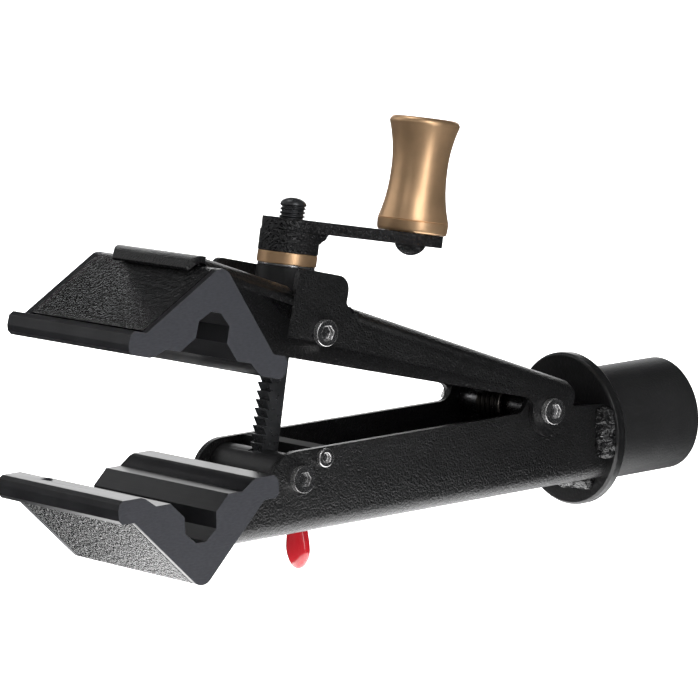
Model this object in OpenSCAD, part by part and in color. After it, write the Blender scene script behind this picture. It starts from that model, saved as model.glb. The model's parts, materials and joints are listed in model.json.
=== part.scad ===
// Clamp head of a bicycle repair stand.
// Two V-shaped jaws sit on steel arms that hinge near the mounting flange.
// A toothed bar closes the jaws in ratchet steps, and a crank nut on the bar's
// threaded end draws them tight.
// Millimetres. +X points out of the spigot, +Y to the far side, +Z up.
// The origin is on the spigot's axis, at the flange face that meets the stand.

/* [Spigot and flange] */
// Outer diameter of the spigot tube
spigot_d = 54; // [50:0.5:58]
// Length of the spigot beyond the flange
spigot_len = 56.5; // [40:0.5:80]
// Wall of the spigot tube
spigot_wall = 3.2; // [2:0.1:5]
// Diameter of the mounting flange
flange_d = 73; // [71:1:80]
// Thickness of the mounting flange
flange_t = 6; // [4:0.5:8]
// Leg length of the weld beads on the flange
weld_leg = 8; // [4:0.5:9]

/* [Arms] */
// Outer width of the lower arm
arm_w = 57.2; // [56:0.2:58]
// Sheet thickness of both arms
sheet_t = 3; // [2.5:0.1:3.5]
// Outer bend radius of both arms
bend_r = 8; // [4:0.5:9]
// Gap between the two arms' side walls where they overlap at the hinge
arm_gap = 0.4; // [0.3:0.05:0.6]
// Underside of the lower arm
arm_low = -20.8; // [-21.2:0.1:-20.4]
// Top edge of the lower arm's side walls
arm_high = 17.3; // [16.9:0.1:17.7]
// How far the jaws stand open at rest, in degrees from closed
open_angle = 14.3; // [10:0.1:15]

/* [Pivots] */
// Hinge axis of the two arms, along X
hinge_x = -43.2; // [-46:0.1:-41]
// Hinge axis of the two arms, along Z
hinge_z = 17; // [16.5:0.1:17.5]
// Lower swivel axis, along X
swivel_x = -188.5; // [-190:0.1:-187]
// Lower swivel axis, along Z
swivel_z = 4.8; // [4:0.1:5]
// Trunnion axis with the jaws closed, along X
trunnion_x = -184.7; // [-185.5:0.1:-184]
// Trunnion axis with the jaws closed, along Z
trunnion_z = 34.8; // [34.5:0.1:35]
// Radial clearance of every running fit
fit = 0.05; // [0.02:0.01:0.09]

/* [Jaws] */
// Middle of the V of both jaws, along X
jaw_x = -256.8; // [-257.6:0.1:-256]
// Height at which the closed jaws meet
jaw_mid = 12.5; // [12.5:0.1:13]
// Depth of the V plate's sharp corner below the meeting height
vee_drop = 45.2; // [44.8:0.1:45.6]
// Thickness of the V plates
vee_t = 2.5; // [2:0.1:3]
// Length of the V plates
vee_len = 84.8; // [82:0.2:86.8]
// Length of the jaw covers
cover_len = 90.8; // [88.8:0.2:94]

/* [Crank and bar] */
// Diameter of the bar's threaded end
rod_d = 12; // [11.9:0.1:12]
// Height of the threaded end above the trunnion axis
rod_top = 57.8; // [54:0.2:60]
// Toothed bar, size along the jaws' closing plane
bar_x = 10; // [9.6:0.1:10]
// Toothed bar, size along Y
bar_y = 8; // [7.6:0.1:8]
// Length of the bar below the lower swivel axis
bar_below = 25; // [22:0.5:27]
// Spacing of the ratchet teeth
tooth_pitch = 3.9; // [3.6:0.1:4.2]
// Depth of the ratchet teeth
tooth_depth = 2.2; // [1.8:0.1:2.4]
// Distance from the screw to the knob's pin
crank_len = 70.5; // [60:0.5:76]
// Width of the crank arm
crank_w = 26.4; // [24:0.2:27]
// Thickness of the crank arm
crank_t = 5.5; // [4:0.1:6]

/* [Hidden] */
$fn = 96;

hinge = [hinge_x, hinge_z];
swivel = [swivel_x, swivel_z];
lower_half = arm_w / 2;
lower_inner = lower_half - sheet_t;
upper_inner = lower_half + arm_gap;
upper_half = upper_inner + sheet_t;
cover_half_len = cover_len / 2;
vee_half_len = vee_len / 2;

// A point of the closed upper jaw, turned about the hinge to where it stands at rest
function opened(p) = [
    hinge_x + (p[0] - hinge_x) * cos(open_angle) + (p[1] - hinge_z) * sin(open_angle),
    hinge_z - (p[0] - hinge_x) * sin(open_angle) + (p[1] - hinge_z) * cos(open_angle)
];
trunnion_closed = [trunnion_x, trunnion_z];
trunnion = opened(trunnion_closed);
bar_lean = atan2(trunnion[0] - swivel[0], trunnion[1] - swivel[1]);
pivot_span = norm(trunnion - swivel);

// Points of an arc about c, from angle a0 to a1
function arc(c, r, a0, a1, n = 10) =
    [for (i = [0:n]) c + r * [cos(a0 + (a1 - a0) * i / n), sin(a0 + (a1 - a0) * i / n)]];
// A point on the bar's axis at a height z, by the lean of the bar
function bar_axis_x(z) = swivel[0] + (z - swivel[1]) * tan(bar_lean);

// Depth of the flange's pocket for the spigot tube
pocket = 3;

// Lower arm, side view
ear_r = 12.5;
// Its back is lower, to clear the bends under the upper arm's roof
ear_back_r = 10.3;
rear_high = 14.8;
ear_fillet = 7;
fillet_x = hinge_x - sqrt(pow(ear_r + ear_fillet, 2) - pow(arm_high + ear_fillet - hinge_z, 2));
fillet_a = atan2(hinge_z - arm_high - ear_fillet, hinge_x - fillet_x);
nose_r = 16.5;
nose_c = [-190, arm_high - nose_r];
vee_low = jaw_mid - vee_drop;
vee_leg = 34.9;

// Upper arm, side view with the jaws closed
slip = 1;
upper_low = 21.4;
lobe_r = 12;
lip_end = jaw_x + 44;
lobe_c = [hinge_x + 1.2, hinge_z];
lobe_fillet = 5;
lobe_fillet_z = upper_low - lobe_fillet;
lobe_fillet_x = lobe_c[0] - sqrt(pow(lobe_r + lobe_fillet, 2) - pow(lobe_fillet_z - lobe_c[1], 2));
lobe_fillet_a = atan2(lobe_c[1] - lobe_fillet_z, lobe_c[0] - lobe_fillet_x);
tail = [-29.6, 32];
vee_r = 6;
vee_bend = [jaw_x, jaw_mid + vee_drop - vee_r * sqrt(2)];
hood_gap = 0.3;
hood_in = vee_r + hood_gap;
hood_out = hood_in + sheet_t;
hood_lip = 3.5;
// The arm's top runs straight from its tail to where it meets the hood's bend
roof_slope = atan2(vee_bend[1] - tail[1], tail[0] - vee_bend[0])
    + asin(hood_out / norm(tail - vee_bend));
hood_start = vee_bend + hood_out * [sin(roof_slope), cos(roof_slope)];
opening_front = -204.2;
opening_rear = -166.5;
ear_top = 61;
ear_front_r = 4;
ear_rear_r = 6.5;

// Cap screws
big_shank = 8;
big_head = 12;
big_head_h = 3.2;
big_hex = 6;
small_shank = 5;
small_head = 8.5;
small_head_h = 2.4;
small_hex = 4;
guide_screw = [-175.2, 12.7];

// Trunnion and crank, along the screw's axis from the trunnion axis
trunnion_d = 20;
neck_top = 26.5;
neck_bore = 13.6;
collar_d = 26.4;
collar_low = 13;
thin_t = 1.2;
thin_d = 26;
brass_t = 5.3;
brass_d = 27;
hub_low = neck_top + thin_t + brass_t;
arm_top = 48.3;
arm_under = arm_top - crank_t;
hub_d = 27.2;
crank_tip = 2;
pin_d = 6.4;
nut_r = 7;
nut_h = 4.9;
nut_band = 0.6;
pin_end = 3.5;
sink = 4;
knob_low = 48.35;
knob_h = 52.8;
round_low = -12;
bar_low = -pivot_span - bar_below;
tooth_top = -22;
tooth_count = floor((tooth_top - bar_low - 2) / tooth_pitch);

// Locking slide, under the lower swivel
slide_t = 4;
slide_low = -15.6;
slide_high = slide_low + slide_t;
slide_front = -208;
seat_x = -219.5;
slide_rear = -163;
slide_half = 14.4;
window_half = bar_y / 2 + 0.6;
crest_gap = 0.6;
pawl_x = bar_axis_x(slide_low) - bar_x / 2 / cos(bar_lean) - crest_gap;
window_rear = pawl_x + 17.5;
tab_x = -169;
tab_t = 2.6;
tab_half = 2.8;
tab_low = -37;
grip_low = -43;
grip_top = -22.3;
grip_t = 7.4;

// Placing modules
// Draws an outline given in X and Z, thick from y0 to y1
module across(y0, y1) {
    translate([0, y1, 0]) rotate([90, 0, 0]) linear_extrude(y1 - y0) children();
}
// Draws an outline given in Y and Z, from x0 to x1
module along(x0, x1) {
    translate([x0, 0, 0]) rotate([90, 0, 90]) linear_extrude(x1 - x0) children();
}
module both_sides() {
    children();
    mirror([0, 1, 0]) children();
}
module at(p) {
    translate([p[0], 0, p[1]]) children();
}
// Puts the closed upper jaw where it stands at rest
module opened_jaw() {
    at(hinge) rotate([0, open_angle, 0]) at(-hinge) children();
}
// Makes an upper jaw piece from a lower one; it sits further down its arm's slope
module flipped() {
    translate([slip, 0, 2 * jaw_mid - slip]) mirror([0, 0, 1]) children();
}
// Z is the screw's axis, measured from the trunnion axis
module on_screw() {
    at(trunnion) rotate([0, bar_lean, 0]) children();
}
module on_swivel() {
    at(swivel) rotate([0, bar_lean, 0]) children();
}
// Round bar along Y
module y_rod(p, d, y0, y1) {
    translate([p[0], y1, p[1]]) rotate([90, 0, 0]) cylinder(d = d, h = y1 - y0);
}
module ring(d_out, d_in, z0, z1) {
    translate([0, 0, z0]) difference() {
        cylinder(d = d_out, h = z1 - z0);
        translate([0, 0, -1]) cylinder(d = d_in, h = z1 - z0 + 2);
    }
}

// Bent channel, open at the top, as an outline across the arm
function channel(half, h) = concat(
    [[-half, h]],
    arc([-half + bend_r, bend_r], bend_r, 180, 270),
    arc([half - bend_r, bend_r], bend_r, 270, 360),
    [[half, h], [half - sheet_t, h]],
    arc([half - bend_r, bend_r], bend_r - sheet_t, 360, 270),
    arc([-half + bend_r, bend_r], bend_r - sheet_t, 270, 180),
    [[-half + sheet_t, h]]
);

// Cap screw along Y: its head stands on the plane y = face, on the near side
module cap_screw(p, face, shank_d, shank_len, head_d, head_h, hex) {
    socket_d = hex / cos(30);
    difference() {
        union() {
            y_rod(p, shank_d, -face - 0.01, -face + shank_len);
            y_rod(p, head_d, -face - head_h, -face);
        }
        translate([p[0], -face - head_h * 0.3, p[1]])
            rotate([90, 0, 0]) cylinder(d = socket_d, h = head_h, $fn = 6);
    }
}

module spigot_tube() {
    step = 0.3;
    color([0.05, 0.05, 0.055])
    rotate([0, 90, 0]) rotate_extrude() polygon([
        [spigot_d / 2 - spigot_wall, -pocket],
        [spigot_d / 2 - step, -pocket],
        [spigot_d / 2 - step, 0],
        [spigot_d / 2, 0],
        [spigot_d / 2, spigot_len - 1],
        [spigot_d / 2 - 1, spigot_len],
        [spigot_d / 2 - spigot_wall, spigot_len]
    ]);
}

module mounting_flange() {
    edge = 1;
    color([0.05, 0.05, 0.055])
    translate([-flange_t, 0, 0]) rotate([0, 90, 0]) rotate_extrude() polygon([
        [0, 0],
        [flange_d / 2 - edge, 0],
        [flange_d / 2, edge],
        [flange_d / 2, flange_t - edge],
        [flange_d / 2 - edge, flange_t],
        [spigot_d / 2 + fit, flange_t],
        [spigot_d / 2 + fit, flange_t - pocket],
        [0, flange_t - pocket]
    ]);
}

// Beads in the corners between the lower arm and the flange
module flange_welds() {
    side_low = -10;
    under_half = 20;
    bead = [[0, 0], [-weld_leg, 0], [0, -weld_leg]];
    color([0.03, 0.03, 0.03]) intersection() {
        union() {
            both_sides()
                translate([-flange_t, -lower_half, side_low])
                linear_extrude(rear_high - side_low) polygon(bead);
            translate([-flange_t, 0, arm_low]) across(-under_half, under_half) polygon(bead);
        }
        translate([-30, 0, 0]) rotate([0, 90, 0]) cylinder(r = flange_d / 2 - 0.3, h = 30);
    }
}

lower_side = concat(
    [[-flange_t, arm_low - 1], [-flange_t, rear_high]],
    arc(hinge, ear_back_r, 0, 90, 12),
    arc(hinge, ear_r, 120, 180 + fillet_a, 12),
    arc([fillet_x, arm_high + ear_fillet], ear_fillet, 360 + fillet_a, 270, 8),
    arc(nose_c, nose_r, 90, 175, 16),
    [
        [jaw_x + vee_leg, vee_low + vee_leg],
        [jaw_x + arm_low - 1 - vee_low, arm_low - 1]
    ]
);

module slot_under(x0, x1, half) {
    translate([x0, -half, arm_low - 1]) cube([x1 - x0, 2 * half, sheet_t + 2]);
}

module lower_arm() {
    slot_mid = bar_axis_x(arm_low + sheet_t / 2);
    bar_slot = [slot_mid - 6.8, slot_mid + 8.4];
    tab_slot = [tab_x - 5.2, tab_x + 5.6];
    tab_slot_half = 6;
    color([0.055, 0.055, 0.06])
    difference() {
        intersection() {
            translate([0, 0, arm_low]) along(jaw_x, -flange_t)
                polygon(channel(lower_half, 60));
            across(-lower_half - 1, lower_half + 1) polygon(lower_side);
        }
        y_rod(hinge, big_shank, -40, 40);
        y_rod(swivel, big_shank, -40, 40);
        y_rod(guide_screw, small_shank, -40, 40);
        slot_under(bar_slot[0], bar_slot[1], bar_y / 2 + 1);
        slot_under(tab_slot[0], tab_slot[1], tab_slot_half);
    }
}

// Angle plate with its sharp corner at the origin and its legs rising at 45 degrees.
// A narrow seam parts its edges from the cover's rims.
seam = 0.7;
plate_leg = vee_leg - seam;
vee_outline = concat(
    [[-plate_leg, plate_leg]],
    arc([0, vee_r * sqrt(2)], vee_r, 225, 315),
    [[plate_leg, plate_leg], [plate_leg - vee_t * sqrt(2), plate_leg]],
    arc([0, vee_r * sqrt(2)], vee_r - vee_t, 315, 225),
    [[-plate_leg + vee_t * sqrt(2), plate_leg]]
);

// Screws that hold a cover, put through the leg of the V that lies inside the arm
screw_up_leg = 38;
screw_half = 14;
cover_screw_d = 4;
cover_screw_len = 12;
module each_cover_screw() {
    s = screw_up_leg / sqrt(2);
    for (y = [-screw_half, screw_half])
        translate([jaw_x + s, y, vee_low + s]) rotate([0, 135, 0]) children();
}
module cover_screw_holes() {
    each_cover_screw()
        translate([0, 0, -cover_screw_len]) cylinder(d = cover_screw_d, h = 20);
}

module jaw_plate() {
    half = vee_half_len - seam;
    difference() {
        translate([jaw_x, 0, vee_low]) across(-half, half) polygon(vee_outline);
        cover_screw_holes();
    }
}

// Half of the cover's gripping side, from the groove's middle out to the lip's underside
grip_side = [
    [2.6, -23.8], [8.3, -19], [8.5, -11.6], [15.6, -4.7], [23.2, -4.7], [25.6, -3],
    [28.6, -0.8], [31, 0], [40.4, 0], [42.4, -1.4], [43.2, -4], [43, -8.4], [41.2, -10.3]
];
lip_under = vee_leg - vee_drop;

// Cover outline about the meeting height; r is the radius under its corner
function cover_outline(r) = concat(
    [for (p = grip_side) p],
    [[vee_leg - (vee_r - r) * sqrt(2), lip_under]],
    arc([0, vee_r * sqrt(2) - vee_drop], r, -45, -135),
    [[-vee_leg + (vee_r - r) * sqrt(2), lip_under]],
    [for (i = [len(grip_side) - 1:-1:0]) [-grip_side[i][0], grip_side[i][1]]]
);

module jaw_cover() {
    difference() {
        translate([jaw_x, 0, jaw_mid]) {
            across(-vee_half_len, vee_half_len) polygon(cover_outline(vee_r - vee_t));
            both_sides() across(-cover_half_len, -vee_half_len) polygon(cover_outline(vee_r));
        }
        cover_screw_holes();
    }
}

module cover_screws() {
    head_d = 7.5;
    head_h = 2.6;
    socket_d = 3.4;
    socket_floor = 1;
    each_cover_screw() {
        translate([0, 0, -cover_screw_len])
            cylinder(d = cover_screw_d, h = cover_screw_len + 0.01);
        difference() {
            cylinder(d = head_d, h = head_h);
            translate([0, 0, socket_floor]) cylinder(d = socket_d, h = head_h, $fn = 6);
        }
    }
}

module lower_jaw_plate() {
    color([0.06, 0.06, 0.065]) jaw_plate();
}
// The lower cover has a shallow pocket in its front lip
module lower_jaw_cover() {
    mark_x = jaw_x - 35;
    mark_y = -4;
    mark_w = 7;
    mark_len = 28;
    mark_depth = 1.2;
    color([0.13, 0.13, 0.14]) difference() {
        jaw_cover();
        translate([mark_x, mark_y, jaw_mid - mark_depth]) cube([mark_w, mark_len, 2 * mark_depth]);
    }
}
module lower_cover_screws() {
    color([0.3, 0.3, 0.32]) cover_screws();
}

// The hinge bolt turns freely in the arms and stands a little clear of them
hinge_bolt_d = big_shank - 2 * fit;
head_clear = 0.15;
hinge_nut_h = 6.5;

module hinge_bolt() {
    past_nut = 2.2;
    color([0.25, 0.25, 0.27])
        cap_screw(hinge, upper_half + head_clear, hinge_bolt_d,
                  2 * (upper_half + head_clear) + hinge_nut_h + past_nut,
                  big_head, big_head_h, big_hex);
}

module hinge_nut() {
    flats = 13;
    color([0.3, 0.3, 0.32])
    difference() {
        translate([hinge_x, upper_half + head_clear + hinge_nut_h, hinge_z]) rotate([90, 0, 0])
            cylinder(d = flats / cos(30), h = hinge_nut_h, $fn = 6);
        y_rod(hinge, hinge_bolt_d, 20, 50);
    }
}

module hinge_sleeve() {
    sleeve_d = 14;
    color([0.5, 0.5, 0.5])
    difference() {
        y_rod(hinge, sleeve_d, -lower_inner, lower_inner);
        y_rod(hinge, big_shank, -40, 40);
    }
}

module torsion_spring() {
    half = 9;
    coil_d = 23;
    wire_d = 3;
    color([0.35, 0.35, 0.35])
    difference() {
        y_rod(hinge, coil_d, -half, half);
        y_rod(hinge, coil_d - 2 * wire_d, -half - 1, half + 1);
    }
}

module swivel_bolts() {
    reach = 16;
    color([0.25, 0.25, 0.27]) both_sides()
        cap_screw(swivel, lower_half, big_shank, reach, big_head, big_head_h, big_hex);
}

// Block across the lower arm that backs the bar
module guide_block() {
    front = -178.3;
    low = 8;
    thick = 8;
    high = 9;
    color([0.1, 0.1, 0.1])
    difference() {
        translate([front, -lower_inner, low]) cube([thick, 2 * lower_inner, high]);
        both_sides() y_rod(guide_screw, small_shank, -40, -lower_half + 15);
    }
}

module guide_screws() {
    reach = 15;
    color([0.35, 0.35, 0.37]) both_sides()
        cap_screw(guide_screw, lower_half, small_shank, reach, small_head, small_head_h,
                  small_hex);
}

// Two rails on the arm's floor; the locking slide's edges run in their grooves
module slide_rails() {
    play = 0.4;
    rail_in = 11.5;
    rail_w = 7;
    rail_h = 9.6;
    rail_x = -205;
    rail_len = 40;
    color([0.2, 0.2, 0.2]) both_sides()
    difference() {
        translate([rail_x, rail_in, arm_low + sheet_t]) cube([rail_len, rail_w, rail_h]);
        translate([rail_x - 1, rail_in - 1, slide_low - play])
            cube([rail_len + 2, slide_half - rail_in + 1 + play, slide_t + 2 * play]);
    }
}

// Bracket on the arm's floor that the locking slide's spring pushes against
module spring_seat() {
    seat_t = 2.5;
    seat_w = 16;
    seat_h = 9;
    foot_len = 8;
    foot_t = 1.6;
    color([0.2, 0.2, 0.2]) translate([seat_x, -seat_w / 2, arm_low + sheet_t]) {
        translate([-seat_t, 0, 0]) cube([seat_t, seat_w, seat_h]);
        translate([-foot_len, 0, 0]) cube([foot_len - seat_t + 0.1, seat_w, foot_t]);
    }
}

module lock_spring() {
    color([0.5, 0.5, 0.5])
    translate([seat_x, 0, slide_low + slide_t / 2]) rotate([0, 90, 0])
        ring(6.4, 4.2, 0, slide_front - seat_x);
}

upper_side = concat(
    [
        [jaw_x + vee_leg, jaw_mid + vee_drop - vee_leg],
        [lip_end, jaw_mid + vee_drop - vee_leg],
        [lip_end + 0.6, upper_low]
    ],
    arc([lobe_fillet_x, lobe_fillet_z], lobe_fillet, 90, lobe_fillet_a, 8),
    arc(lobe_c, lobe_r, 180 + lobe_fillet_a, 360, 20),
    [tail - [0, 4], tail - [2, 1], tail + [-2, 48], [jaw_x, 80], [jaw_x, jaw_mid + vee_drop]]
);

// Ear that stands up beside the screw, side view with the jaws closed.
// A notch at its front edge and a step at its rear edge part it from the roof.
ear_front = opening_front + 0.7;
ear_rear = -174.2;
ear_foot = 30;
notch_z = 49.2;
lap = 0.1;
ear_side = concat(
    [[opening_front - lap, ear_foot], [opening_front - lap, notch_z], [ear_front, notch_z]],
    arc([ear_front + ear_front_r, ear_top - ear_front_r], ear_front_r, 180, 90, 6),
    arc([ear_rear - ear_rear_r, ear_top - ear_rear_r], ear_rear_r, 88, 0, 6),
    [
        [ear_rear, 49.5],
        [ear_rear + 1, 48.2],
        [opening_rear + lap, 47.6],
        [opening_rear + lap, ear_foot]
    ]
);

// A stretch of inverted channel whose top surface starts at p and falls toward +X
module roof(p, slope, len) {
    at(p) rotate([0, slope, 0]) mirror([0, 0, 1]) along(0, len)
        polygon(channel(upper_half, 60));
}

// The arm's front end, bent over the V plate's corner
module hood() {
    reach = 20;
    lip_slant = 1.4;
    translate([vee_bend[0], 0, vee_bend[1]]) across(-upper_half, upper_half) difference() {
        union() {
            intersection() {
                circle(r = hood_out);
                polygon([[0, 0], reach * [cos(90 - roof_slope), sin(90 - roof_slope)],
                         [-reach / 4, 1.5 * reach], reach * [cos(135), sin(135)]]);
            }
            rotate(135) polygon([[hood_in, -0.01], [hood_out, -0.01], [hood_out, 0],
                                 [hood_in + lip_slant, hood_lip], [hood_in, hood_lip]]);
        }
        circle(r = hood_in);
    }
}

// The arm seen from above, with its two front corners rounded
module arm_plan() {
    front_x = jaw_x - 9.3;
    near = [6, 5];
    far = [20, 14];
    linear_extrude(100) polygon(concat(
        [for (a = [0:9:90]) [front_x + near[0] * (1 - cos(a)), near[1] * (1 - sin(a)) - upper_half]],
        [[0, -upper_half], [0, upper_half]],
        [for (a = [90:-9:0]) [front_x + far[0] * (1 - cos(a)), upper_half - far[1] * (1 - sin(a))]]
    ));
}

module upper_arm() {
    relief = [-168.8, 47.6];
    relief_d = 5.2;
    roof_len = 235;
    cut_low = 42;
    color([0.055, 0.055, 0.06])
    opened_jaw() difference() {
        union() {
            intersection() {
                roof(hood_start, roof_slope, roof_len);
                arm_plan();
                difference() {
                    across(-50, 50) polygon(upper_side);
                    translate([opening_front, -50, cut_low])
                        cube([opening_rear - opening_front, 100, 40]);
                }
            }
            both_sides() across(-upper_half, -upper_inner) polygon(ear_side);
            intersection() {
                hood();
                arm_plan();
            }
        }
        y_rod(hinge, big_shank, -50, 50);
        y_rod(trunnion_closed, big_shank, -50, 50);
        y_rod(relief, relief_d, -50, 50);
    }
}

module upper_jaw_plate() {
    color([0.06, 0.06, 0.065]) opened_jaw() flipped() jaw_plate();
}
module upper_jaw_cover() {
    color([0.13, 0.13, 0.14]) opened_jaw() flipped() jaw_cover();
}
module upper_cover_screws() {
    color([0.3, 0.3, 0.32]) opened_jaw() flipped() cover_screws();
}

module trunnion_bolts() {
    reach = 19;
    color([0.25, 0.25, 0.27]) both_sides()
        cap_screw(trunnion, upper_half, big_shank, reach, big_head, big_head_h, big_hex);
}

// Barrel on the trunnion bolts, with a neck that carries the crank nut
module trunnion_block() {
    end = upper_inner - 0.3;
    color([0.15, 0.15, 0.16])
    on_screw() difference() {
        union() {
            y_rod([0, 0], trunnion_d, -end, end);
            cylinder(d = trunnion_d, h = neck_top);
            translate([0, 0, collar_low]) cylinder(d = collar_d, h = neck_top - collar_low);
        }
        translate([0, 0, -30]) cylinder(d = neck_bore, h = 80);
        both_sides() y_rod([0, 0], big_shank + 2 * fit, -50, -upper_half + 20);
    }
}

module thin_washer() {
    color([0.4, 0.4, 0.42]) on_screw() ring(thin_d, 13, neck_top, neck_top + thin_t);
}

module brass_washer() {
    color([0.75, 0.58, 0.33]) on_screw() ring(brass_d, 12.6, neck_top + thin_t, hub_low);
}

// Ratchet teeth as one outline in X and Z: flat on top, sloping below
tooth_side = [
    for (i = [0:tooth_count - 1])
        each [
            [-bar_x / 2 + tooth_depth, tooth_top - i * tooth_pitch],
            [-bar_x / 2, tooth_top - i * tooth_pitch],
            [-bar_x / 2, tooth_top - i * tooth_pitch - 0.6]
        ]
];

module ratchet_bar() {
    color([0.33, 0.33, 0.34])
    on_screw() {
        translate([0, 0, round_low]) rotate_extrude() polygon([
            [0, 0], [rod_d / 2, 0], [rod_d / 2, rod_top - round_low - 1.2],
            [rod_d / 2 - 1.2, rod_top - round_low], [0, rod_top - round_low]
        ]);
        across(-bar_y / 2, bar_y / 2) polygon(concat(
            [[-bar_x / 2, round_low + 1], [-bar_x / 2, tooth_top + 3]],
            tooth_side,
            [
                [-bar_x / 2 + tooth_depth, tooth_top - tooth_count * tooth_pitch],
                [-bar_x / 2 + tooth_depth, bar_low + 1],
                [-bar_x / 2 + tooth_depth + 1, bar_low],
                [bar_x / 2 - 1, bar_low],
                [bar_x / 2, bar_low + 1],
                [bar_x / 2, round_low + 1]
            ]
        ));
    }
}

module crank_hub() {
    color([0.05, 0.05, 0.05]) on_screw() ring(hub_d, rod_d + 2 * fit, hub_low, arm_under);
}

module crank_arm() {
    color([0.05, 0.05, 0.05])
    on_screw() translate([0, 0, arm_under]) difference() {
        union() {
            cylinder(d = crank_w, h = crank_t);
            translate([0, -crank_w / 2, 0]) cube([crank_len + crank_tip, crank_w, crank_t]);
            translate([crank_len + crank_tip, 0, 0]) cylinder(d = crank_w, h = crank_t);
        }
        translate([0, 0, -1]) cylinder(d = rod_d + 2 * fit, h = crank_t + 2);
        translate([crank_len, 0, -1]) cylinder(d = pin_d, h = crank_t + 2);
    }
}

// Pin on which the knob spins; its head lies in the knob's top
module knob_pin() {
    top = knob_low + knob_h;
    head_d = 11;
    head_h = 3;
    socket_d = 5;
    color([0.5, 0.5, 0.5])
    on_screw() translate([crank_len, 0, 0]) {
        translate([0, 0, arm_under - pin_end])
            cylinder(d = pin_d, h = top - sink - arm_under + pin_end + 0.01);
        translate([0, 0, top - sink]) difference() {
            cylinder(d = head_d, h = head_h);
            translate([0, 0, 1]) cylinder(d = socket_d, h = head_h, $fn = 6);
        }
    }
}

// Domed nut under the crank arm
module pin_nut() {
    cap_h = nut_h - nut_band;
    dome_r = (nut_r * nut_r + cap_h * cap_h) / (2 * cap_h);
    dome_z = nut_h - dome_r;
    color([0.06, 0.06, 0.06])
    on_screw() translate([crank_len, 0, arm_under]) rotate([180, 0, 0]) rotate_extrude()
        polygon(concat(
            [[pin_d / 2, 0], [nut_r, 0]],
            arc([0, dome_z], dome_r, asin((nut_band - dome_z) / dome_r), 90, 8),
            [[0, pin_end], [pin_d / 2, pin_end]]
        ));
}

module spinner_knob() {
    base_r = 16.4;
    waist_r = 12.9;
    top_r = 16.2;
    waist_z = 30;
    band_z = 5.2;
    round_r = 2.6;
    well_r = 6.6;
    body_top = knob_h - round_r;
    steps = 18;
    // Radius of the waisted stretch at height z
    function waist(z) = waist_r + (z < waist_z
        ? (base_r - waist_r) * pow((waist_z - z) / (waist_z - band_z), 2.3)
        : (top_r - waist_r) * pow((z - waist_z) / (body_top - waist_z), 2));
    color([0.74, 0.57, 0.33])
    on_screw() translate([crank_len, 0, knob_low]) rotate_extrude() polygon(concat(
        [[pin_d / 2 + fit, 0], [base_r - 1.2, 0], [base_r - 0.4, 0.8], [base_r - 0.1, 2.4]],
        [for (i = [0:steps]) let (z = band_z + (body_top - band_z) * i / steps) [waist(z), z]],
        arc([top_r - round_r, body_top], round_r, 30, 90, 3),
        [[well_r, knob_h], [well_r, knob_h - sink], [pin_d / 2 + fit, knob_h - sink]]
    ));
}

// Barrel on the swivel bolts, with the slot that the toothed bar slides through
module swivel_barrel() {
    end = lower_inner - 0.3;
    barrel_d = 20;
    play_x = 0.6;
    play_y = 0.4;
    color([0.15, 0.15, 0.16])
    on_swivel() difference() {
        y_rod([0, 0], barrel_d, -end, end);
        translate([-bar_x / 2 - play_x, -bar_y / 2 - play_y, -20])
            cube([bar_x + 2 * play_x, bar_y + 2 * play_y, 40]);
        both_sides() y_rod([0, 0], big_shank + 2 * fit, -50, -lower_half + 17);
    }
}

// Plate whose window edge drops between the bar's teeth
module lock_slide() {
    peg_len = 5;
    peg_d = 3.2;
    color([0.3, 0.3, 0.31])
    difference() {
        union() {
            translate([slide_front, -slide_half, slide_low])
                cube([slide_rear - slide_front, 2 * slide_half, slide_t]);
            translate([slide_front - peg_len, 0, slide_low + slide_t / 2]) rotate([0, 90, 0])
                cylinder(d = peg_d, h = peg_len + 0.01);
        }
        translate([pawl_x, -window_half, slide_low - 1])
            cube([window_rear - pawl_x, 2 * window_half, slide_t + 2]);
    }
}

module release_tab() {
    color([0.3, 0.3, 0.31])
    translate([tab_x - tab_t / 2, -tab_half, tab_low]) cube([tab_t, 2 * tab_half, slide_low - tab_low]);
}

// Dipped vinyl grip on the release tab
module release_grip() {
    wide_z = -33.5;
    wide_r = 7;
    neck_half = 5.4;
    tip_r = 3;
    color([0.8, 0.06, 0.08])
    difference() {
        translate([tab_x, 0, 0]) along(-grip_t / 2, grip_t / 2) polygon(concat(
            [[neck_half, grip_top], [-neck_half, grip_top]],
            arc([0, wide_z], wide_r, 180, 222, 4),
            arc([0, grip_low + tip_r], tip_r, 222, 318, 4),
            arc([0, wide_z], wide_r, 318, 360, 4)
        ));
        translate([tab_x - tab_t / 2, -tab_half, tab_low]) cube([tab_t, 2 * tab_half, 40]);
    }
}

spigot_tube();
mounting_flange();
flange_welds();
lower_arm();
lower_jaw_plate();
lower_jaw_cover();
lower_cover_screws();
hinge_bolt();
hinge_nut();
hinge_sleeve();
torsion_spring();
swivel_bolts();
guide_block();
guide_screws();
slide_rails();
spring_seat();
lock_spring();
upper_arm();
upper_jaw_plate();
upper_jaw_cover();
upper_cover_screws();
trunnion_bolts();
trunnion_block();
thin_washer();
brass_washer();
ratchet_bar();
crank_hub();
crank_arm();
knob_pin();
pin_nut();
spinner_knob();
swivel_barrel();
lock_slide();
release_tab();
release_grip();
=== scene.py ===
"""Looks of the repair stand clamp head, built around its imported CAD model.

Everything is in metres, in the part's own frame: +X out along the spigot, +Y to the far
side and +Z up. The jaws stand open at rest.
"""

import json
from math import cos, pi, radians, sin, sqrt

import bmesh
import bpy
from mathutils import Matrix, Vector, noise


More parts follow.
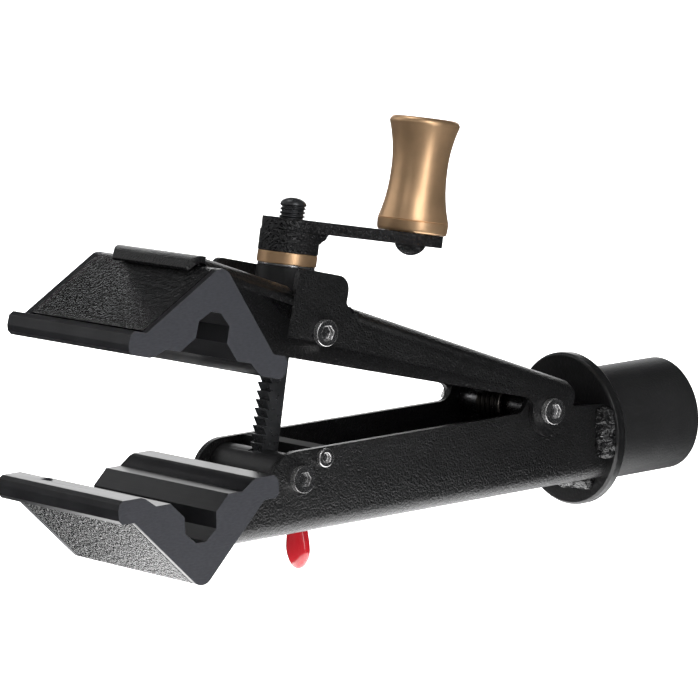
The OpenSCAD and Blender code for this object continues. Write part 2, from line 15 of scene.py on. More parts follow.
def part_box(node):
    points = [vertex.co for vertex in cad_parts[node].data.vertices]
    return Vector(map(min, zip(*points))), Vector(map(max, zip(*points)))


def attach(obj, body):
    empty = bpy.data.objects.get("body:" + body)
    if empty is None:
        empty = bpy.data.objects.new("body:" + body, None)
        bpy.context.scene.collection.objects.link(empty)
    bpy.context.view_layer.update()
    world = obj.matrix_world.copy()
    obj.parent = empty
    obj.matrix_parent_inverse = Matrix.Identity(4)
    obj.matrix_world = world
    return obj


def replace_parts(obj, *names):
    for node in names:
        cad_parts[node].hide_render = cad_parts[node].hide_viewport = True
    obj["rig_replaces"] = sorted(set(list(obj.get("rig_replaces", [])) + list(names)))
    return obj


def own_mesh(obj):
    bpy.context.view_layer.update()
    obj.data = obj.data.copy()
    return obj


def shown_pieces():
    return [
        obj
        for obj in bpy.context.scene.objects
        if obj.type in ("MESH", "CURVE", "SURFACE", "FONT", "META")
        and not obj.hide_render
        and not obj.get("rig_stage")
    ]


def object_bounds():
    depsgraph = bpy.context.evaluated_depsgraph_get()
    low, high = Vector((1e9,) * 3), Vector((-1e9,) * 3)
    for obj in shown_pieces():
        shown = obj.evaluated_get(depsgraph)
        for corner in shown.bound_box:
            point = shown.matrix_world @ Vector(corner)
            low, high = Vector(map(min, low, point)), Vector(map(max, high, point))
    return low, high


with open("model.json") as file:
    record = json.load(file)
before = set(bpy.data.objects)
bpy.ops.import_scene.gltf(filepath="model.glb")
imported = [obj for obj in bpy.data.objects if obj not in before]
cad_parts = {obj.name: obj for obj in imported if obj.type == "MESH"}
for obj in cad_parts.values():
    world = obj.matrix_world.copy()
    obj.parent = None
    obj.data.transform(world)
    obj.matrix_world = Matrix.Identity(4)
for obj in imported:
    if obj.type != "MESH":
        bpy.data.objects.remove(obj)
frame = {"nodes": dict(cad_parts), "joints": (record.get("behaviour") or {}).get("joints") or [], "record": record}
cad_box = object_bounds()
MM = 0.001

# ---------------------------------------------------------------- places from the frame

joints = {j["name"]: j for j in frame["joints"]}
HINGE = Vector(joints["jaw_hinge"]["pos_m"])
TRUNNION = Vector(joints["trunnion_tilt"]["pos_m"])
SWIVEL = Vector(joints["swivel_tilt"]["pos_m"])
SCREW = Vector(joints["crank_turn"]["axis"]).normalized()
KNOB = Vector(joints["knob_spin"]["pos_m"])
ACROSS = Vector((0, 1, 0))
ALONG_ARM = ACROSS.cross(SCREW).normalized()


def axis_frame(origin, z_axis, x_axis):
    """Matrix that carries local Z onto z_axis and local X near x_axis, at origin."""
    z = Vector(z_axis).normalized()
    hint = Vector(x_axis)
    x = (hint - z * hint.dot(z)).normalized()
    m = Matrix((x, z.cross(x), z)).transposed().to_4x4()
    m.translation = Vector(origin)
    return m


ON_SCREW = axis_frame(TRUNNION, SCREW, ALONG_ARM)
# The knob's joint sits on its axis, so its own frame starts level with the trunnion
KNOB_OUT = (KNOB - TRUNNION).dot(ALONG_ARM)
ON_KNOB = axis_frame(TRUNNION + ALONG_ARM * KNOB_OUT, SCREW, ALONG_ARM)

# ---------------------------------------------------------------- camera, light, floor

CAMERA_AT = Vector((-1.3131, -1.4719, 0.3452))
AZIMUTH, ELEVATION, ROLL = radians(-38.661), radians(8.802), radians(-1.658)
SENSOR = 36.0
PIXELS_WIDE = 700
FOCAL_IN_PIXELS = 4200


def make_camera():
    back = Vector(
        (sin(AZIMUTH) * cos(ELEVATION), -cos(AZIMUTH) * cos(ELEVATION), sin(ELEVATION))
    )
    level = Vector((cos(AZIMUTH), sin(AZIMUTH), 0))
    upright = back.cross(level)
    right = level * cos(ROLL) + upright * sin(ROLL)
    up = upright * cos(ROLL) - level * sin(ROLL)
    data = bpy.data.cameras.new("camera")
    data.sensor_width = SENSOR
    data.lens = SENSOR * FOCAL_IN_PIXELS / PIXELS_WIDE
    data.clip_start, data.clip_end = 0.05, 50
    camera = bpy.data.objects.new("camera", data)
    bpy.context.collection.objects.link(camera)
    camera.matrix_world = Matrix.Translation(CAMERA_AT) @ Matrix(
        (right, up, back)
    ).transposed().to_4x4()
    bpy.context.scene.camera = camera


def softbox(name, at, width, height, power, in_view=True):
    """Rectangular light at a place in metres, turned to the middle of the part."""
    data = bpy.data.lights.new(name, "AREA")
    data.shape = "RECTANGLE"
    data.size, data.size_y = width, height
    data.energy = power
    light = bpy.data.objects.new(name, data)
    bpy.context.collection.objects.link(light)
    turn = (Vector(LIGHTS_AIM) - Vector(at)).to_track_quat("-Z", "Y")
    light.matrix_world = Matrix.Translation(at) @ turn.to_matrix().to_4x4()
    light.visible_camera = in_view


LIGHTS_AIM = (-0.12, 0, 0.03)
FLOOR_DROP = 0.13
MIRRORED_RADIUS = 0.27
FLOOR_RADIUS = 2.2
BACKDROP_BEND = 1.2
BACKDROP_TOP = 4.0
FLOOR_GLOW = 2.2
BACKDROP_GLOW = 0.9


def make_white(name, glow):
    material = bpy.data.materials.new(name)
    material.use_nodes = True
    shader = material.node_tree.nodes["Principled BSDF"]
    shader.inputs["Base Color"].default_value = (0.9, 0.9, 0.9, 1)
    shader.inputs["Roughness"].default_value = 0.9
    shader.inputs["Emission Color"].default_value = (1, 1, 1, 1)
    shader.inputs["Emission Strength"].default_value = glow
    return material


def make_rings(name, profile, material):
    """Surface of revolution about the part's middle, from (radius, height) pairs."""
    low = cad_box[0].z - FLOOR_DROP
    centre = (cad_box[0] + cad_box[1]) / 2
    steps = 64
    bm = bmesh.new()
    rings = []
    for radius, height in profile:
        ring = []
        for i in range(steps):
            x = centre.x + radius * cos(2 * pi * i / steps)
            y = centre.y + radius * sin(2 * pi * i / steps)
            ring.append(bm.verts.new((x, y, low + height)))
        rings.append(ring)
    for a, b in zip(rings, rings[1:]):
        for i in range(steps):
            bm.faces.new((a[i], a[(i + 1) % steps], b[(i + 1) % steps], b[i]))
    bmesh.ops.recalc_face_normals(bm, faces=bm.faces)
    mesh = bpy.data.meshes.new(name)
    bm.to_mesh(mesh)
    bm.free()
    for p in mesh.polygons:
        p.use_smooth = True
    mesh.materials.append(material)
    thing = bpy.data.objects.new(name, mesh)
    bpy.context.collection.objects.link(thing)
    thing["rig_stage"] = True
    return thing


def make_stage():
    """Pale floor, brightest under the part, and a backdrop that curves up from it on all sides."""
    disc = [(0.001, 0), (MIRRORED_RADIUS, 0)]
    make_rings("floor", disc, make_white("floor_bright", FLOOR_GLOW))
    bend_steps = 12
    wall = [(MIRRORED_RADIUS, 0)]
    for t in range(bend_steps + 1):
        a = t * pi / (2 * bend_steps)
        wall.append((FLOOR_RADIUS + BACKDROP_BEND * sin(a), BACKDROP_BEND * (1 - cos(a))))
    wall.append((wall[-1][0], BACKDROP_TOP))
    backdrop = make_rings("backdrop", wall, make_white("backdrop_white", BACKDROP_GLOW))
    # Black gloss stays dark where it would mirror the backdrop
    backdrop.visible_glossy = False


def make_light():
    scene = bpy.context.scene
    scene.view_settings.view_transform = "Standard"
    world = bpy.data.worlds.new("studio")
    scene.world = world
    world.use_nodes = True
    background = world.node_tree.nodes["Background"]
    background.inputs["Color"].default_value = (0.95, 0.97, 1.0, 1)
    background.inputs["Strength"].default_value = 0.06
    softbox("top_box", (-0.2, 0.55, 1.5), width=0.7, height=0.35, power=3.5)
    softbox("front_box", (-1.5, -0.3, 0.9), width=0.3, height=0.5, power=0.7)
    softbox("left_box", (-0.95, 1.25, 0.85), width=1.5, height=1.1, power=3.4, in_view=False)
    # Tall, for the broad upright highlight on the brass
    softbox("side_box", (-0.38, -1.5, 0.6), width=0.42, height=2.2, power=11)
    # Small and strong, for the glints on welds and bolt edges
    softbox("spark_box", (-0.75, -1.3, 1.0), width=0.12, height=0.12, power=2.4)
    softbox("far_box", (1.15, 1.5, 0.42), width=1.5, height=0.7, power=8, in_view=False)


# ---------------------------------------------------------------- materials


class Nodes:
    """Short names for building a node tree."""

    def __init__(self, name):
        self.material = bpy.data.materials.new(name)
        self.material.use_nodes = True
        self.tree = self.material.node_tree
        self.shader = self.tree.nodes["Principled BSDF"]
        self.where = self.add("ShaderNodeTexCoord").outputs["Object"]

    def add(self, kind, **settings):
        node = self.tree.nodes.new(kind)
        for key, value in settings.items():
            setattr(node, key, value)
        return node

    def link(self, a, b):
        self.tree.links.new(a, b)

    def set(self, **values):
        for key, value in values.items():
            self.shader.inputs[key.replace("_", " ")].default_value = value

    def noise_texture(self, scale, detail, stretch=None):
        """Noise texture in the object's own metres, drawn out by stretch if it is given."""
        node = self.add("ShaderNodeTexNoise")
        node.inputs["Scale"].default_value = scale
        node.inputs["Detail"].default_value = detail
        if stretch is None:
            self.link(self.where, node.inputs["Vector"])
        else:
            mapping = self.add("ShaderNodeMapping")
            mapping.inputs["Scale"].default_value = stretch
            self.link(self.where, mapping.inputs["Vector"])
            self.link(mapping.outputs["Vector"], node.inputs["Vector"])
        return node

    def ramp(self, source, stops):
        node = self.add("ShaderNodeValToRGB")
        elements = node.color_ramp.elements
        while len(elements) < len(stops):
            elements.new(0.5)
        for element, (place, colour) in zip(elements, stops):
            element.position = place
            element.color = (*colour, 1)
        self.link(source, node.inputs["Fac"])
        return node.outputs["Color"]

    def range(self, source, low, high, start=0.0, end=1.0):
        node = self.add("ShaderNodeMapRange")
        node.inputs["From Min"].default_value = start
        node.inputs["From Max"].default_value = end
        node.inputs["To Min"].default_value = low
        node.inputs["To Max"].default_value = high
        self.link(source, node.inputs["Value"])
        return node.outputs["Result"]

    def bump(self, source, distance, strength=1.0, below=None):
        node = self.add("ShaderNodeBump")
        node.inputs["Strength"].default_value = strength
        node.inputs["Distance"].default_value = distance
        self.link(source, node.inputs["Height"])
        if below is not None:
            self.link(below, node.inputs["Normal"])
        return node.outputs["Normal"]

    def faces_y(self):
        """1 on faces square to the Y axis, 0 on all that lean away from it."""
        coords = self.add("ShaderNodeTexCoord")
        split = self.add("ShaderNodeSeparateXYZ")
        self.link(coords.outputs["Normal"], split.inputs["Vector"])
        size = self.add("ShaderNodeMath", operation="ABSOLUTE")
        self.link(split.outputs["Y"], size.inputs[0])
        return self.range(size.outputs["Value"], 0.0, 1.0, 0.9, 0.97)

    def mix(self, share, first, second):
        """Colour that goes from first to second as share goes from 0 to 1."""
        node = self.add("ShaderNodeMix", data_type="RGBA")
        self.link(share, node.inputs[0])
        self.link(first, node.inputs[6])
        self.link(second, node.inputs[7])
        return node.outputs[2]

    def tinted(self, source, colour, low, high):
        """Base colour that wanders between low and high times the given colour."""
        stops = [(0.3, [c * low for c in colour]), (0.72, [min(1, c * high) for c in colour])]
        self.link(self.ramp(source, stops), self.shader.inputs["Base Color"])


def coat(name, ripple, depth, tone, roughness):
    """Black powder coat: ripples of one size, with a fine grain on top."""
    grain_depth = 0.00004
    n = Nodes(name)
    n.set(Specular_IOR_Level=0.4)
    waves = n.noise_texture(ripple, 2.5)
    waves.inputs["Roughness"].default_value = 0.5
    waves.inputs["Distortion"].default_value = 0.5
    grains = n.noise_texture(2600, 2.0)
    patches = n.noise_texture(35, 3.0)
    n.tinted(patches.outputs["Fac"], (tone, tone, tone * 1.06), 0.85, 1.2)
    n.link(
        n.range(patches.outputs["Fac"], roughness - 0.02, roughness + 0.03, 0.3, 0.7),
        n.shader.inputs["Roughness"],
    )
    first = n.bump(waves.outputs["Fac"], depth)
    n.link(n.bump(grains.outputs["Fac"], grain_depth, 0.6, first), n.shader.inputs["Normal"])
    return n.material


def plastic(name):
    """Extruded plastic: lines along Y on its sides, and dull sawn ends."""
    n = Nodes(name)
    n.set(Specular_IOR_Level=0.3)
    lines = n.noise_texture(700, 3.0, stretch=(1, 0.03, 1))
    saw = n.noise_texture(1500, 4.0, stretch=(0.3, 1, 1))
    blotch = n.noise_texture(60, 4.0)
    is_end = n.faces_y()
    sides = n.ramp(blotch.outputs["Fac"], [(0.3, (0.005, 0.005, 0.0055)), (0.72, (0.009, 0.009, 0.01))])
    ends = n.ramp(saw.outputs["Fac"], [(0.25, (0.013, 0.0135, 0.017)), (0.8, (0.023, 0.024, 0.029))])
    n.link(n.mix(is_end, sides, ends), n.shader.inputs["Base Color"])
    n.link(n.range(is_end, 0.3, 0.62), n.shader.inputs["Roughness"])
    first = n.bump(lines.outputs["Fac"], 0.00006, 0.8)
    n.link(n.bump(blotch.outputs["Fac"], 0.00008, 0.5, first), n.shader.inputs["Normal"])
    return n.material


def steel(name, colour, roughness, metallic=1.0):
    """Bare or plated steel with fine scratches and uneven tone."""
    n = Nodes(name)
    n.set(Metallic=metallic)
    scratch = n.noise_texture(500, 4.0)
    tone = n.noise_texture(140, 3.0)
    n.tinted(tone.outputs["Fac"], colour, 0.75, 1.2)
    n.link(
        n.range(scratch.outputs["Fac"], roughness - 0.08, roughness + 0.1, 0.3, 0.7),
        n.shader.inputs["Roughness"],
    )
    n.link(n.bump(scratch.outputs["Fac"], 0.00003, 0.7), n.shader.inputs["Normal"])
    return n.material


def bolt_steel(name):
    """Blackened steel for heads along Y, with a painted highlight: all but the flat head faces are coloured
    bright.
    """
    n = Nodes(name)
    n.set(Metallic=0.95)
    scratch = n.noise_texture(1500, 4.0)
    tone = n.noise_texture(140, 3.0)
    # Painted highlight: the edges ramp gives the rims and sides a bright colour, the faces ramp is the dark steel
    # itself
    edges = n.ramp(tone.outputs["Fac"], [(0.3, (0.5, 0.49, 0.49)), (0.72, (0.75, 0.74, 0.74))])
    faces = n.ramp(tone.outputs["Fac"], [(0.3, (0.09, 0.09, 0.092)), (0.72, (0.15, 0.15, 0.155))])
    n.link(n.mix(n.faces_y(), edges, faces), n.shader.inputs["Base Color"])
    n.link(n.range(scratch.outputs["Fac"], 0.2, 0.36, 0.3, 0.7), n.shader.inputs["Roughness"])
    n.link(n.bump(scratch.outputs["Fac"], 0.00001, 0.7), n.shader.inputs["Normal"])
    return n.material


def turned_brass(name):
    """Satin brass with a fine grain and soft stains."""
    n = Nodes(name)
    n.set(Metallic=0.95)
    stains = n.noise_texture(90, 4.0)
    grain = n.noise_texture(1800, 3.0)
    n.tinted(stains.outputs["Fac"], (0.8, 0.52, 0.3), 0.9, 1.08)
    n.link(n.range(grain.outputs["Fac"], 0.34, 0.46, 0.3, 0.7), n.shader.inputs["Roughness"])
    n.link(n.bump(grain.outputs["Fac"], 0.00002, 0.6), n.shader.inputs["Normal"])
    return n.material


def vinyl(name, colour):
    n = Nodes(name)
    n.set(Roughness=0.2, Coat_Weight=0.6, Coat_Roughness=0.06, Subsurface_Weight=0.05)
    n.shader.inputs["Subsurface Radius"].default_value = (0.003, 0.0006, 0.0005)
    n.shader.inputs["Subsurface Scale"].default_value = 1.0
    sag = n.noise_texture(120, 3.0)
    n.tinted(sag.outputs["Fac"], colour, 0.85, 1.1)
    n.link(n.bump(sag.outputs["Fac"], 0.0002, 0.5), n.shader.inputs["Normal"])
    return n.material


COATS = {
    "arm": coat("arm_coat", 950, 0.0005, 0.003, 0.3),
    "jaw": coat("jaw_coat", 640, 0.0026, 0.004, 0.24),
    "flange": coat("flange_coat", 600, 0.0002, 0.004, 0.3),
    "tube": coat("tube_coat", 900, 0.00015, 0.006, 0.46),
    "weld": coat("weld_coat", 260, 0.0035, 0.004, 0.1),
    "gloss": coat("gloss_coat", 600, 0.0016, 0.004, 0.16),
    "satin": coat("satin_black", 600, 0.00004, 0.007, 0.38),
    "dull": coat("dull_black", 600, 0.00004, 0.003, 0.7),
}
PLASTIC = plastic("jaw_plastic")
BOLT = bolt_steel("bolt_black")
ZINC = steel("zinc_plate", (0.5, 0.5, 0.51), 0.3)
PHOSPHATE = steel("phosphate", (0.07, 0.072, 0.076), 0.32, 0.85)
SPRING = steel("spring_wire", (0.12, 0.11, 0.1), 0.33)
BRASS = turned_brass("satin_brass")
VINYL = vinyl("red_vinyl", (0.3, 0.004, 0.009))

# ---------------------------------------------------------------- mesh helpers


def new_piece(name, bm, material, body, slot, *nodes, smooth=True):
    """Turns bm into an object that rides on a body and stands for CAD nodes."""
    mesh = bpy.data.meshes.new(name)
    bmesh.ops.recalc_face_normals(bm, faces=bm.faces)
    bm.to_mesh(mesh)
    bm.free()
    for p in mesh.polygons:
        p.use_smooth = smooth
    mesh.materials.append(material)
    piece = bpy.data.objects.new(name, mesh)
    bpy.context.collection.objects.link(piece)
    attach(piece, body)
    if nodes:
        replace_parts(piece, *nodes)
    return piece


def soften(piece, width):
    """Rounds off the edges where faces meet at more than a slight angle."""
    bevel = piece.modifiers.new("edges", "BEVEL")
    bevel.width = width
    bevel.segments = 2
    bevel.limit_method = "ANGLE"
    bevel.angle_limit = radians(24)
    bevel.harden_normals = True
    bevel.miter_outer = "MITER_ARC"


def from_node(name, node, material, slot, body, width):
    """A piece with a CAD node's own shape, its flat faces joined up and its edges broken."""
    bm = bmesh.new()
    bm.from_mesh(frame["nodes"][node].data)
    bmesh.ops.remove_doubles(bm, verts=bm.verts, dist=2e-6)
    bmesh.ops.dissolve_limit(bm, angle_limit=radians(0.6), verts=bm.verts, edges=bm.edges)
    piece = new_piece(name, bm, material, body, slot, node)
    piece.data.set_sharp_from_angle(angle=radians(18))
    soften(piece, width)


def revolve(profile, matrix, steps, thread):
    """Closed surface about matrix's Z axis, from (radius, z) pairs; the first and last lie on it.

    thread gives the true radius for a radius, an angle and a height.
    """
    bm = bmesh.new()
    ends = [bm.verts.new(matrix @ Vector((0, 0, profile[k][1]))) for k in (0, -1)]
    rings = []
    for radius, z in profile[1:-1]:
        ring = []
        for i in range(steps):
            a = 2 * pi * i / steps
            r = thread(radius, a, z)
            ring.append(bm.verts.new(matrix @ Vector((r * cos(a), r * sin(a), z))))
        rings.append(ring)
    for a, b in zip(rings, rings[1:]):
        for i in range(steps):
            j = (i + 1) % steps
            bm.faces.new((a[i], a[j], b[j], b[i]))
    for i in range(steps):
        j = (i + 1) % steps
        bm.faces.new((ends[0], rings[0][j], rings[0][i]))
        bm.faces.new((ends[1], rings[-1][i], rings[-1][j]))
    return bm


def tube_along(points, radius, sides=12):
    """Round wire through a list of points."""
    bm = bmesh.new()
    rings = []
    for i, p in enumerate(points):
        ahead = points[min(i + 1, len(points) - 1)] - points[max(i - 1, 0)]
        turn = ahead.to_track_quat("Z", "Y").to_matrix()
        ring = []
        for k in range(sides):
            a = 2 * pi * k / sides
            ring.append(bm.verts.new(p + turn @ Vector((radius * cos(a), radius * sin(a), 0))))
        rings.append(ring)
    for a, b in zip(rings, rings[1:]):
        # Rings are matched by their nearest first point, so the wire doesn't twist
        shift = min(range(sides), key=lambda k: (b[k].co - a[0].co).length)
        for k in range(sides):
            j = (k + 1) % sides
            bm.faces.new((a[k], a[j], b[(j + shift) % sides], b[(k + shift) % sides]))
    bm.faces.new(rings[0])
    bm.faces.new(rings[-1])
    return bm


def coil(centre, axis, start, radius, pitch, turns, per_turn=36):
    """Points of a helix about an axis."""
    side = Vector(start).normalized()
    other = Vector(axis).cross(side)
    points = []
    for i in range(int(turns * per_turn) + 1):
        a = 2 * pi * i / per_turn
        around = side * radius * cos(a) + other * radius * sin(a)
        points.append(centre + around + Vector(axis) * pitch * i / per_turn)
    return points


def plate(outline, matrix, low, high):
    """Flat outline in matrix's X and Z, thick along its Y from low to high."""
    bm = bmesh.new()
    rings = [[bm.verts.new(matrix @ Vector((x, y, z))) for x, z in outline] for y in (low, high)]
    count = len(outline)
    bm.faces.new(rings[0])
    bm.faces.new(rings[1])
    for i in range(count):
        j = (i + 1) % count
        bm.faces.new((rings[0][i], rings[0][j], rings[1][j], rings[1][i]))
    return bm


def weld_bead(bm, start, end, wall, floor, leg, seed):
    """Convex bead laid from start to end in the corner between two faces.

    wall and floor point along the faces, away from the corner.
    """
    steps, across = 46, 9
    rings = []
    for i in range(steps + 1):
        t = i / steps
        centre = Vector(start).lerp(Vector(end), t)
        swell = sqrt(max(0.0, 1 - (2 * t - 1) ** 8))
        reach = leg * (0.86 + 0.16 * noise.noise(Vector((t * 9, seed, 0)))) * max(0.25, swell)
        ring = []
        for k in range(across + 1):
            a = k / across * pi / 2
            crown = 0.72 + 0.13 * sin(2 * a) + 0.05 * noise.noise(Vector((t * 30, k * 0.6, seed)))
            out = Vector(wall) * cos(a) ** 1.4 + Vector(floor) * sin(a) ** 1.4
            ring.append(bm.verts.new(centre + out * reach * crown / 0.72))
        ring.append(bm.verts.new(centre - (Vector(wall) + Vector(floor)) * 0.2 * MM))
        rings.append(ring)
    count = across + 2
    for a, b in zip(rings, rings[1:]):
        for k in range(count):
            j = (k + 1) % count
            bm.faces.new((a[k], a[j], b[j], b[k]))
    bm.faces.new(rings[0])
    bm.faces.new(rings[-1])


# ---------------------------------------------------------------- pieces made in detail

PITCH = 1.75 * MM
ROD_R, ROD_TOP, DOME = 6 * MM, 57.8 * MM, 3.4 * MM
THREAD_LOW, ROUND_LOW = 20 * MM, -12 * MM
ARM_TOP, ARM_T = 48.3 * MM, 5.5 * MM
HUB_R = 13.6 * MM
BAR_HALF_X, BAR_HALF_Y, BAR_BELOW = 5 * MM, 4 * MM, 25 * MM
TOOTH_TOP, TOOTH_PITCH, TOOTH_DEPTH = -22 * MM, 3.9 * MM, 2.2 * MM


def threaded_radius(radius, angle, z):
    """ISO-like thread cut into the given radius."""
    if z < THREAD_LOW:
        return radius
    phase = (z / PITCH - angle / (2 * pi)) % 1.0
    ramp = abs(2 * phase - 1)
    fade = min(1.0, max(0.0, (ROD_TOP - DOME - z) / (0.5 * MM)))
    depth = min(1.0, max(0.0, 1.35 * ramp - 0.15)) * 1.05 * MM * fade
    return max(0.2 * MM, min(radius, ROD_R) - depth * min(1.0, radius / ROD_R))


def make_rod():
    """Round rod with a thread and a domed tip, and the toothed bar below it."""
    per_turn = 10
    count = int((ROD_TOP - THREAD_LOW) / PITCH * per_turn)
    profile = [(0, ROUND_LOW), (ROD_R, ROUND_LOW), (ROD_R, THREAD_LOW - 0.2 * MM)]
    for i in range(count + 1):
        z = THREAD_LOW + (ROD_TOP - THREAD_LOW - 0.2 * MM) * i / count
        left = ROD_TOP - z
        radius = ROD_R if left > DOME else ROD_R * sqrt(1 - (1 - left / DOME) ** 2)
        profile.append((radius, z))
    profile.append((0, ROD_TOP))
    rod = revolve(profile, ON_SCREW, 64, threaded_radius)
    new_piece("threaded_end", rod, PHOSPHATE, "bar", "phosphate_steel")

    top = ROUND_LOW + MM
    bottom = -((TRUNNION - SWIVEL).length + BAR_BELOW)
    teeth = int((TOOTH_TOP - bottom - 2 * MM) / TOOTH_PITCH)
    root = -BAR_HALF_X + TOOTH_DEPTH
    outline = [(-BAR_HALF_X, top), (-BAR_HALF_X, TOOTH_TOP + 3 * MM)]
    for i in range(teeth):
        z = TOOTH_TOP - i * TOOTH_PITCH
        outline += [(root, z), (-BAR_HALF_X, z), (-BAR_HALF_X, z - 0.6 * MM)]
    outline += [(root, TOOTH_TOP - teeth * TOOTH_PITCH), (root, bottom + MM), (root + MM, bottom)]
    outline += [(BAR_HALF_X - MM, bottom), (BAR_HALF_X, bottom + MM), (BAR_HALF_X, top)]
    bar = plate(outline, ON_SCREW, -BAR_HALF_Y, BAR_HALF_Y)
    piece = new_piece("toothed_bar", bar, PHOSPHATE, "bar", "phosphate_steel", "ratchet_bar", smooth=False)
    soften(piece, 0.25 * MM)


def make_torsion_spring():
    wire, mean_r, pitch = 1.5 * MM, 10 * MM, 3.3 * MM
    turns = 4.6
    start = HINGE - ACROSS * pitch * turns / 2
    points = coil(start, ACROSS, (1, 0, 0), mean_r, pitch, turns)
    spring = tube_along(points, wire, 14)
    new_piece("torsion_coils", spring, SPRING, "frame", "spring_steel", "torsion_spring")


def make_lock_spring():
    low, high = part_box("lock_spring")
    wire, turns = 0.45 * MM, 7
    radius = (high.y - low.y) / 2 - wire
    length = high.x - low.x - 2 * wire
    centre = Vector((low.x + wire, 0, (low.z + high.z) / 2))
    points = coil(centre, (1, 0, 0), (0, 1, 0), radius, length / turns, turns, 24)
    spring = tube_along(points, wire, 8)
    piece = new_piece("lock_coils", spring, SPRING, "frame", "spring_steel", "lock_spring")
    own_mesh(piece)


def make_knob():
    """Waisted brass grip with a crisp line above its bottom band and a well for the pin's head."""
    low, height = 48.35 * MM, 52.8 * MM
    base_r, waist_r, top_r = 16.4 * MM, 12.9 * MM, 16.2 * MM
    waist_z, band_z, edge = 30 * MM, 5.6 * MM, 2.6 * MM
    bore, well, sink = 3.3 * MM, 6.6 * MM, 4 * MM
    outline = [(bore, 0), (base_r - 1.2 * MM, 0)]
    outline += [(base_r - 0.7 * MM, 0.3 * MM), (base_r - 0.4 * MM, 0.8 * MM)]
    outline += [(base_r - 0.2 * MM, 1.8 * MM), (base_r, band_z - 0.25 * MM), (base_r - 0.3 * MM, band_z)]
    outline += [(base_r - 0.05 * MM, band_z + 0.25 * MM)]
    steps = 40
    for i in range(steps + 1):
        z = band_z + 0.5 * MM + (height - edge - band_z - 0.5 * MM) * i / steps
        if z < waist_z:
            r = waist_r + (base_r - waist_r) * ((waist_z - z) / (waist_z - band_z)) ** 2.3
        else:
            r = waist_r + (top_r - waist_r) * ((z - waist_z) / (height - edge - waist_z)) ** 2
        outline.append((r, z))
    for k in range(1, 6):
        a = k * pi / 10
        outline.append((top_r - edge + edge * cos(a), height - edge + edge * sin(a)))
    outline += [(well + 0.4 * MM, height), (well, height - 0.4 * MM)]
    outline += [(well, height - sink), (bore, height - sink)]
    bm = bmesh.new()
    steps = 96
    rings = []
    for r, z in outline:
        ring = []
        for i in range(steps):
            a = 2 * pi * i / steps
            ring.append(bm.verts.new(ON_KNOB @ Vector((r * cos(a), r * sin(a), low + z))))
        rings.append(ring)
    for a, b in zip(rings, rings[1:] + rings[:1]):
        for i in range(steps):
            j = (i + 1) % steps
            bm.faces.new((a[i], a[j], b[j], b[i]))
    piece = new_piece("brass_knob", bm, BRASS, "knob", "brass", "spinner_knob")
    piece.data.set_sharp_from_angle(angle=radians(32))


def make_hub_weld():
    """Glossy weld that fills the corner between the hub and the crank arm."""
    under = ARM_TOP - ARM_T
    half, reach, drop = 8.5 * MM, 7.5 * MM, 5.8 * MM
    bm = bmesh.new()
    rows, cols = 22, 12
    grid = []
    for i in range(rows + 1):
        v = 2 * i / rows - 1
        width = sqrt(max(0.0, 1 - v * v * 0.92))
        row = []
        for k in range(cols + 1):
            a = k / cols * pi / 2
            x = sqrt(HUB_R**2 - (v * half) ** 2) - 0.6 * MM + reach * width * cos(a) ** 1.5
            z = under + 0.1 * MM - drop * width * sin(a) ** 1.5
            lump = 1.1 * MM * noise.noise(Vector((v * 2.6, a * 3.1, 4.0)))
            keep = sin(2 * a)
            row.append(bm.verts.new(ON_SCREW @ Vector((x + lump * keep, v * half, z - lump * keep))))
        row.append(bm.verts.new(ON_SCREW @ Vector((HUB_R - 4.6 * MM, v * half * 0.95, under + 0.1 * MM))))
        grid.append(row)
    count = cols + 2
    for a, b in zip(grid, grid[1:]):
        for k in range(count):
            j = (k + 1) % count
            bm.faces.new((a[k], a[j], b[j], b[k]))
    bm.faces.new(grid[0])
    bm.faces.new(grid[-1])
    new_piece("hub_weld", bm, COATS["weld"], "crank", "gloss_black")


def make_flange_welds():
    low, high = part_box("lower_arm")
    face, leg = -6 * MM, 7.6 * MM
    bm = bmesh.new()
    for side in (-1, 1):
        edge = side * (high.y - low.y) / 2
        weld_bead(bm, (face, edge, -11 * MM), (face, edge, 14.6 * MM), (-1, 0, 0), (0, side, 0), leg, side)
    weld_bead(bm, (face, -20 * MM, low.z), (face, 20 * MM, low.z), (-1, 0, 0), (0, 0, -1), leg, 5)
    new_piece("flange_beads", bm, COATS["weld"], "frame", "weld_black", "flange_welds")


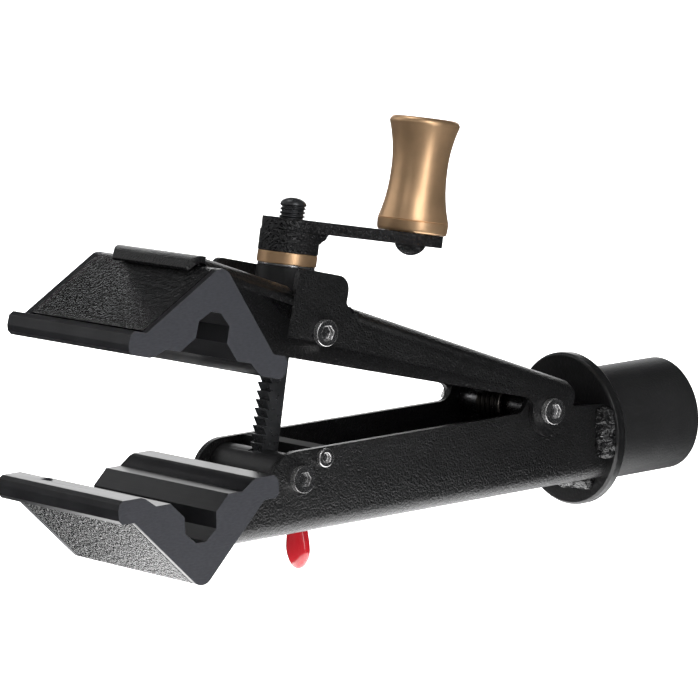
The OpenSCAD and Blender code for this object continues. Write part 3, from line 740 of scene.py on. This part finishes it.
def make_grip():
    """Dipped teardrop of vinyl on the release tab."""
    low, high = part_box("release_grip")
    middle = (low + high) / 2
    rows, steps = 36, 32
    length = high.z - low.z
    bm = bmesh.new()
    rings = []
    for i in range(rows + 1):
        t = i / rows
        # Half width: a neck at the top, widest a little past halfway, then a round tip
        belly = 5.5 + 1.4 * sin(pi * min(1.0, max(0.0, (t - 0.1) / 0.9))) ** 1.2
        tip = sqrt(max(0.0, 1 - max(0.0, (t - 0.5) / 0.5) ** 2.2))
        wide = belly * tip * MM
        thick = (3.0 + 0.12 * belly) * tip**0.7 * MM
        rings.append([])
        for k in range(steps):
            a = 2 * pi * k / steps
            x = middle.x + thick * (abs(cos(a)) ** 0.85) * (1 if cos(a) > 0 else -1)
            y = wide * (abs(sin(a)) ** 0.85) * (1 if sin(a) > 0 else -1)
            rings[-1].append(bm.verts.new((x, y, high.z - length * t)))
    for a, b in zip(rings, rings[1:]):
        for k in range(steps):
            j = (k + 1) % steps
            bm.faces.new((a[k], a[j], b[j], b[k]))
    bm.faces.new(rings[0])
    bm.faces.new(rings[-1])
    bmesh.ops.remove_doubles(bm, verts=bm.verts, dist=1e-6)
    new_piece("vinyl_drop", bm, VINYL, "lock", "red_vinyl", "release_grip")


# ---------------------------------------------------------------- pieces that keep the CAD shape

BODIES = frame["record"]["behaviour"]["bodies"]
BODY_OF = {node: body for body, members in BODIES.items() for node in members}
SLOT_OF = {s["node"]: s["material_slot"] for s in frame["record"]["subparts"]}
LOOK = {
    "spigot_tube": COATS["tube"],
    "mounting_flange": COATS["flange"],
    "lower_arm": COATS["arm"],
    "upper_arm": COATS["arm"],
    "lower_jaw_plate": COATS["jaw"],
    "upper_jaw_plate": COATS["jaw"],
    "lower_jaw_cover": PLASTIC,
    "upper_jaw_cover": PLASTIC,
    "brass_washer": BRASS,
    "crank_hub": COATS["gloss"],
    "crank_arm": COATS["gloss"],
    "pin_nut": COATS["gloss"],
    "lock_slide": PHOSPHATE,
    "release_tab": PHOSPHATE,
    "hinge_bolt": BOLT,
    "hinge_nut": BOLT,
    "swivel_bolts": BOLT,
    "trunnion_bolts": BOLT,
    "guide_screws": BOLT,
    "trunnion_block": COATS["satin"],
    "swivel_barrel": COATS["satin"],
    "guide_block": COATS["dull"],
    "slide_rails": COATS["satin"],
    "spring_seat": COATS["satin"],
}
# How far a piece's edges are rounded off
EDGE = {
    "lower_arm": 0.5,
    "upper_arm": 0.5,
    "lower_jaw_cover": 0.3,
    "upper_jaw_cover": 0.3,
    "crank_arm": 0.6,
    "hinge_bolt": 0.7,
    "swivel_bolts": 0.7,
    "trunnion_bolts": 0.7,
    "guide_screws": 0.55,
}

make_camera()
make_stage()
make_light()
make_rod()
make_torsion_spring()
make_lock_spring()
make_knob()
make_hub_weld()
make_flange_welds()
make_grip()

DONE = {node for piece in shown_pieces() for node in piece.get("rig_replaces", [])}
for node in frame["nodes"]:
    if node not in DONE:
        width = EDGE.get(node, 0.4) * MM
        from_node(node + "_body", node, LOOK.get(node, ZINC), SLOT_OF[node], BODY_OF[node], width)
